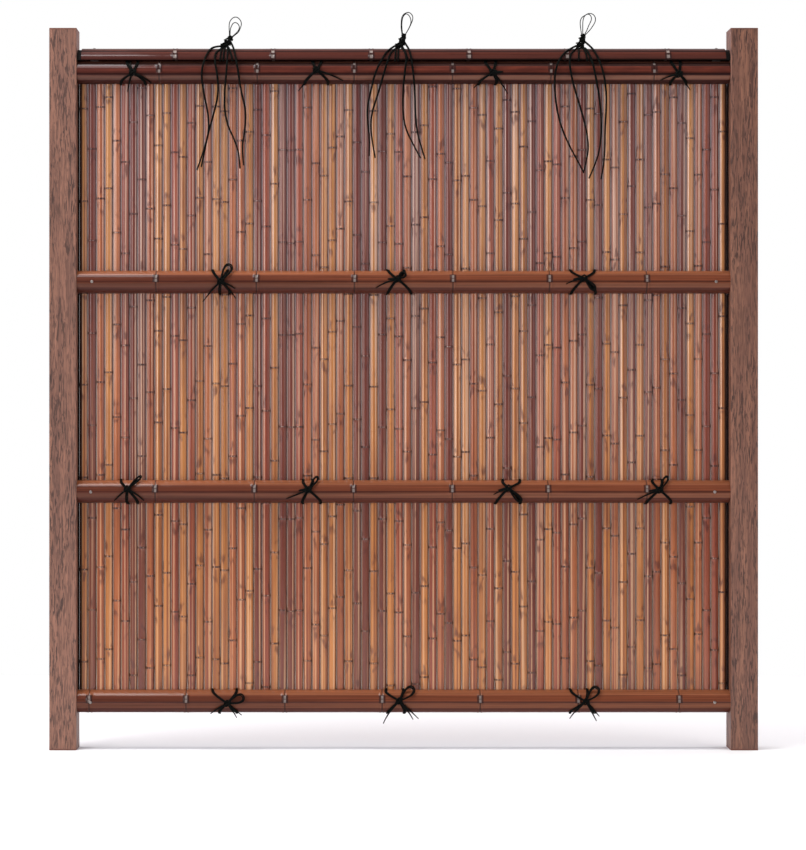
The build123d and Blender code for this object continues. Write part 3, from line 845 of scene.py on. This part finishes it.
# Cap ties and their hanging ends: x from the tie, y from the centre line, z above the ground, in millimetres
CAP_TIES = {"left": -490, "middle": -11, "right": 490}
CAP_TAILS = {
    "left": {
        "outer_left_tail": [
            (-11, -6, 1942), (-33, -9, 1940), (-45, -26, 1928), (-57, -39, 1903), (-67, -42, 1862),
            (-60, -40, 1808), (-48, -38, 1755), (-45, -37, 1704), (-60, -36, 1648), (-79, -34, 1596),
        ],
        "inner_left_tail": [
            (-6, -7, 1937), (-27, -27, 1926), (-30, -40, 1898), (-22, -42, 1858), (-19, -37, 1808),
            (-31, -32, 1757), (-46, -30, 1706), (-57, -29, 1655), (-67, -31, 1605),
        ],
        "inner_right_tail": [
            (4, -8, 1941), (6, -29, 1929), (5, -41, 1903), (3, -45, 1864), (-2, -43, 1816),
            (-3, -40, 1764), (6, -38, 1718), (28, -37, 1672), (38, -36, 1636), (40, -35, 1600),
        ],
        "outer_right_tail": [
            (12, -4, 1955), (19, -10, 1941), (23, -27, 1928), (29, -39, 1901), (36, -42, 1860),
            (43, -40, 1812), (56, -38, 1762), (54, -36, 1708), (44, -34, 1658), (50, -32, 1609),
        ],
    },
    "middle": {
        "outer_left_tail": [
            (-9, -5, 1944), (-31, -25, 1930), (-49, -38, 1901), (-69, -42, 1859), (-80, -40, 1810),
            (-90, -38, 1766), (-87, -36, 1718), (-82, -35, 1676), (-84, -33, 1635),
        ],
        "inner_left_tail": [
            (-6, -7, 1937), (-22, -27, 1926), (-33, -40, 1897), (-46, -41, 1852), (-61, -36, 1801),
            (-78, -30, 1751), (-79, -28, 1704), (-73, -28, 1663), (-67, -29, 1630),
        ],
        "inner_right_tail": [
            (6, -8, 1938), (16, -27, 1925), (19, -39, 1899), (13, -42, 1857), (9, -40, 1807),
            (9, -37, 1756), (15, -35, 1713), (36, -34, 1669), (58, -32, 1629),
        ],
        "outer_right_tail": [
            (12, -4, 1957), (20, -10, 1943), (27, -27, 1928), (33, -38, 1900), (38, -42, 1858),
            (42, -39, 1808), (43, -37, 1755), (47, -35, 1707), (58, -34, 1664), (70, -33, 1626),
        ],
    },
    "right": {
        "outer_left_tail": [
            (-9, -5, 1944), (-38, -24, 1929), (-61, -38, 1903), (-74, -42, 1868), (-75, -40, 1822),
            (-70, -38, 1768), (-57, -36, 1716), (-36, -34, 1667), (-11, -32, 1622), (7, -31, 1588),
        ],
        "inner_left_tail": [
            (-6, -7, 1937), (-26, -27, 1926), (-35, -40, 1897), (-29, -42, 1852), (-15, -39, 1803),
            (1, -37, 1752), (14, -36, 1703), (19, -36, 1655), (12, -37, 1620), (6, -38, 1592),
        ],
        "inner_right_tail": [
            (7, -8, 1938), (18, -27, 1925), (29, -39, 1895), (38, -42, 1852), (47, -39, 1804),
            (53, -37, 1751), (54, -35, 1699), (49, -34, 1649), (35, -33, 1606), (20, -32, 1573),
        ],
        "outer_right_tail": [
            (10, -4, 1956), (26, -12, 1941), (36, -28, 1925), (48, -38, 1898), (60, -42, 1861),
            (67, -40, 1815), (67, -38, 1762), (64, -36, 1709), (64, -34, 1657), (61, -33, 1608),
            (53, -32, 1571),
        ],
    },
}
TAIL_LENGTHS = {"left": (389, 359, 362, 363), "middle": (342, 335, 334, 349), "right": (408, 374, 389, 409)}

# Turns of cord round the cap as their places at its crest and at its front edge, from the tie, in millimetres
CAP_TURNS = {
    "left": ((-10, -15), (-3, -6), (5, 19)),
    "middle": ((-9, -12.4), (-2, -4.4), (7, 22)),
    "right": ((-6, -7.8), (3, 16), (8, 26)),
}
# Each tie's knots, from the tie and above the ground, in millimetres: the middle, the width and the height
CAP_KNOTS = {
    "left": ((-3, 1943, 27, 19), (4.2, 1954, 22, 22), (11.7, 1964, 16, 15)),
    "middle": ((0.6, 1943, 26, 19), (7.5, 1956, 21, 25), (12.2, 1969, 14, 16)),
    "right": ((-0.7, 1945, 25, 23), (4.5, 1959, 20, 22), (7, 1969, 15, 15)),
}
CAP_KNOT_Y = -4 * MM
CAP_KNOT_DEPTH = 16 * MM
# Each tie's bow as the routes of its two loops, from the tie and above the ground, in millimetres
BOW_LOOPS = {
    "left": (
        ((9, 1964), (9, 1983), (8, 1995), (9, 2008), (15, 2018), (23, 2023), (32, 2022), (40, 2014),
         (43, 2003), (39, 1991), (34, 1980), (23, 1972), (14, 1964)),
        ((11, 1964), (11, 1988), (15, 1997), (18, 2004), (25, 2008), (33, 2004), (38, 1994), (32, 1980),
         (14, 1966)),
    ),
    "middle": (
        ((9, 1966), (5, 1988), (5, 2005), (6, 2019), (10, 2029), (19, 2035), (27, 2036), (35, 2030),
         (38, 2021), (36, 2012), (31, 2000), (24, 1986), (15, 1972)),
        ((10, 1966), (7, 1990), (7, 2008), (10, 2024), (18, 2032), (25, 2029), (31, 2020), (33, 2006),
         (25, 1988), (14, 1970)),
    ),
    "right": (
        ((4, 1968), (1, 1988), (-1, 2004), (0, 2015), (5, 2023), (12, 2027), (20, 2032), (28, 2033),
         (36, 2030), (42, 2021), (41, 2009), (33, 1996), (25, 1985), (10, 1970)),
        ((6, 1968), (6, 1992), (6, 2008), (8, 2019), (12, 2027), (20, 2031), (27, 2028), (31, 2019),
         (28, 2009), (22, 1998), (18, 1986), (9, 1970)),
    ),
}
BOW_DEPTHS = (-3 * MM, -6 * MM)
# Where a cap turn is tucked in: how far below the cap's edge, and how far in and up from there
TUCK_DROP = 2.6 * MM
TUCK_STEP = 5 * MM
TUCK_REACH = 9 * MM
TUCK_RISE = 4 * MM


def cap_turn(x_crest, x_edge):
    """A turn of cord over the cap, tucked in under its back and front edges."""
    reach = RAIL_RADIUS + CORD_RADIUS + WRAP_CLEARANCE
    low = cap_axis[1] - TUCK_DROP
    inner_end = (reach - TUCK_REACH, low + TUCK_RISE)
    route = [(x_crest, *inner_end), (x_crest, reach - TUCK_STEP, low), (x_crest, reach, low)]
    for angle in range(15, 180, 25):
        turn = math.radians(angle)
        part = max(0.0, (angle - 90) / 90)
        x = x_crest + (x_edge - x_crest) * part
        route.append((x, reach * math.cos(turn), cap_axis[1] + reach * CAP_STRETCH * math.sin(turn)))
    route += [(x_edge, -reach, low), (x_edge, TUCK_STEP - reach, low), (x_edge, -inner_end[0], inner_end[1])]
    return route


def make_cap_tie(side):
    """A cap tie: three turns, knots one above the other, a bow of two nested loops, and four tails."""
    x = CAP_TIES[side] * MM
    strands = []
    for crest, edge in CAP_TURNS[side]:
        strands.append((cap_turn(x + crest * MM, x + edge * MM), CAP_TURN_RADIUS, None))
    for dx, z, width, height in CAP_KNOTS[side]:
        centre = (x + dx * MM, CAP_KNOT_Y, z * MM)
        strands += knot_strands(centre, width * MM, height * MM, CAP_KNOT_DEPTH)
    for loop, y in zip(BOW_LOOPS[side], BOW_DEPTHS):
        strands.append(([(x + dx * MM, y, z * MM) for dx, z in loop], THIN_RADIUS, None))
    tie = rope_piece(f"{side}_cap_cord", strands)
    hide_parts(f"{side}_cap_tie")
    for (name, route), length in zip(CAP_TAILS[side].items(), TAIL_LENGTHS[side]):
        points = [(x + dx * MM, y * MM, z * MM) for dx, y, z in route]
        ring_points, faces = rope(points, TAIL_RADIUS, CORD_RADIUS)
        tail = piece(f"{side}_{name}_cord", ring_points, faces, "palm_cord", CORD, sharp_angle=75)
        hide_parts(f"{side}_{name}")
        path = [tuple(p) for p in smooth_line(points)]


for name in rail_axes:
    make_rail_ties(name)
for side in CAP_TAILS:
    make_cap_tie(side)


# Screws
HEAD_RADIUS = 4.2 * MM
HEAD_HEIGHT = 2.2 * MM
HEAD_CROWN = 2.6
HEAD_RINGS, HEAD_SPOKES = 7, 24
RECESS_HALF_WIDTH, RECESS_REACH, RECESS_DEPTH = 0.75 * MM, 2.6 * MM, 1.1 * MM


def screw_head(place, outward):
    """A pan head with a crossed recess, facing outward."""
    outward = Vector(outward).normalized()
    side = outward.orthogonal().normalized()
    other = outward.cross(side)
    points, faces = [], []
    for ring in range(HEAD_RINGS):
        part = ring / (HEAD_RINGS - 1)
        radius = HEAD_RADIUS * part
        for spoke in range(HEAD_SPOKES):
            turn = 2 * math.pi * spoke / HEAD_SPOKES
            a, b = radius * math.cos(turn), radius * math.sin(turn)
            height = HEAD_HEIGHT * math.sqrt(max(0.0, 1 - part**HEAD_CROWN))
            if min(abs(a), abs(b)) < RECESS_HALF_WIDTH and radius < RECESS_REACH:
                height -= RECESS_DEPTH
            points.append(Vector(place) + side * a + other * b + outward * height)
    for start in range(0, (HEAD_RINGS - 1) * HEAD_SPOKES, HEAD_SPOKES):
        for spoke in range(HEAD_SPOKES):
            here, after = start + spoke, start + (spoke + 1) % HEAD_SPOKES
            faces.append((here, here + HEAD_SPOKES, after + HEAD_SPOKES, after))
    last = (HEAD_RINGS - 1) * HEAD_SPOKES
    faces.append(tuple(range(last, last + HEAD_SPOKES))[::-1])
    return points, faces


def screw_piece(name, places):
    """Screw heads that are alike, as one piece. Each place is a point and a direction."""
    points, faces = [], []
    for place, outward in places:
        head_points, head_faces = screw_head(place, outward)
        faces += [tuple(len(points) + k for k in face) for face in head_faces]
        points += head_points
    piece(name, points, faces, "frame_metal", SCREW, sharp_angle=50)


rail_heads = []
for name, places in RAIL_SCREWS.items():
    y, z = rail_axes[name]
    rail_heads += [((x * MM, y - RAIL_RADIUS, z), (0, -1, 0)) for x in places]
screw_piece("rail_screws", rail_heads)
cap_heads = []
for side in ("left", "right"):
    low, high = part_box(f"{side}_cap_saddle")
    cap_heads.append((((low.x + high.x) / 2, 0, cap_axis[1] + RAIL_RADIUS * CAP_STRETCH), (0, 0, 1)))
screw_piece("cap_screws", cap_heads)


# Materials of the frame's own nodes
def wear(material, *names):
    """Gives nodes of the frame a material."""
    for name in names:
        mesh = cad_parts[name].data
        mesh.materials.clear()
        mesh.materials.append(material)


wear(LEFT_POST, "left_post")
wear(RIGHT_POST, "right_post")
wear(PLUG, "left_post_foot", "right_post_foot", "left_post_cap", "right_post_cap")
wear(BLACK, "left_cap_end", "right_cap_end")
wear(EDGE_STRIP_SHADE, "left_edge_strip", "right_edge_strip")
wear(TUBE, "left_cap_saddle", "right_cap_saddle")
for name in rail_axes:
    wear(TUBE, name.replace("_rail", "_backing_rail"))
    wear(ANGLE, *[f"{side}_{name}".replace("_rail", "_bracket") for side in ("left", "right")])


# Stage, lights and camera
FLOOR_FRONT, FLOOR_BACK, FLOOR_SIDE = -5.6, 1.6, 3.0


def make_floor():
    mesh = bpy.data.meshes.new("floor")
    corners = [(-FLOOR_SIDE, FLOOR_FRONT, 0), (FLOOR_SIDE, FLOOR_FRONT, 0), (FLOOR_SIDE, FLOOR_BACK, 0)]
    mesh.from_pydata([*corners, (-FLOOR_SIDE, FLOOR_BACK, 0)], [], [(0, 1, 2, 3)])
    mesh.materials.append(pale_floor())
    floor = bpy.data.objects.new("floor", mesh)
    bpy.context.scene.collection.objects.link(floor)


# Light on the object from each side, and the share of it that comes from below
SKY_FRONT = (0.2, 0.2, 0.22, 1.0)
SKY_LEFT = (0.9, 0.9, 1.05, 1.0)
SKY_RIGHT = (0.5, 0.48, 0.54, 1.0)
SKY_BEHIND = (0.75, 0.72, 0.8, 1.0)
GROUND_SHARE = 0.12


def make_world():
    """White to the camera. To the object it is dim in front, brighter elsewhere, and dark below."""
    world = bpy.data.worlds.new("studio")
    bpy.context.scene.world = world
    world.use_nodes = True
    world.node_tree.nodes.clear()
    sky = Nodes(world.node_tree)
    parts = sky.node("ShaderNodeSeparateXYZ")
    sky.feed(parts.inputs[0], sky.node("ShaderNodeTexCoord").outputs["Generated"])
    x, z = parts.outputs["X"], parts.outputs["Z"]
    colour = sky.mix(sky.span(x, -0.45, -0.8), SKY_FRONT, SKY_LEFT)
    colour = sky.mix(sky.span(x, 0.45, 0.8), colour, SKY_RIGHT)
    colour = sky.mix(sky.span(parts.outputs["Y"], 0.1, 0.4), colour, SKY_BEHIND)
    lit = sky.node("ShaderNodeBackground")
    sky.feed(lit.inputs["Color"], colour)
    sky.feed(lit.inputs["Strength"], sky.span(z, -0.07, -0.02, GROUND_SHARE, 1.0))
    white = sky.node("ShaderNodeBackground")
    sky.feed(white.inputs["Color"], (1, 1, 1, 1))
    choice = sky.node("ShaderNodeMixShader")
    sky.feed(choice.inputs[0], sky.node("ShaderNodeLightPath").outputs["Is Camera Ray"])
    sky.feed(choice.inputs[1], lit.outputs[0])
    sky.feed(choice.inputs[2], white.outputs[0])
    sky.feed(sky.node("ShaderNodeOutputWorld").inputs[0], choice.outputs[0])


def softbox(name, place, target, size, radiance, colour, glossy=True):
    """A soft light of a given brightness. One that isn't glossy isn't mirrored in the object."""
    light = bpy.data.lights.new(name, "AREA")
    light.shape = "RECTANGLE"
    light.size, light.size_y = size
    light.energy = radiance * math.pi * size[0] * size[1]
    light.color = colour
    lamp = bpy.data.objects.new(name, light)
    lamp.location = place
    lamp.rotation_euler = (Vector(target) - Vector(place)).to_track_quat("-Z", "Y").to_euler()
    lamp.visible_camera = False
    lamp.visible_glossy = glossy
    bpy.context.scene.collection.objects.link(lamp)


def make_camera():
    data = bpy.data.cameras.new("camera")
    data.sensor_fit = "AUTO"
    data.sensor_width = SENSOR
    data.lens = FOCAL_PIXELS * SENSOR / PICTURE_HEIGHT
    data.shift_x = (PICTURE_WIDTH / 2 - PRINCIPAL_PIXEL[0]) / PICTURE_HEIGHT
    data.shift_y = (PRINCIPAL_PIXEL[1] - PICTURE_HEIGHT / 2) / PICTURE_HEIGHT
    camera = bpy.data.objects.new("camera", data)
    camera.location = CAMERA_PLACE
    camera.rotation_euler = (math.radians(90), 0, 0)
    bpy.context.scene.collection.objects.link(camera)
    bpy.context.scene.camera = camera


make_floor()
make_world()
softbox("overhead", (0, -0.3, 5.2), (0, -0.3, 0), (7.0, 2.6), 5.5, (1.0, 0.98, 0.95), glossy=False)
softbox("front_left", (-4.6, -4.4, 2.05), (0, 0, 1.2), (2.0, 2.8), 4.9, (1.0, 0.95, 0.92))
softbox("front_right", (4.4, -4.0, 2.05), (0, 0, 1.2), (2.4, 2.8), 1.6, (1.0, 0.95, 0.92))
softbox("over_left_end", (-1.75, -0.95, 3.5), (-1.75, -0.95, 0), (1.7, 1.7), 6.5, (0.95, 0.97, 1.0))
make_camera()
bpy.context.scene.view_settings.view_transform = "Standard"
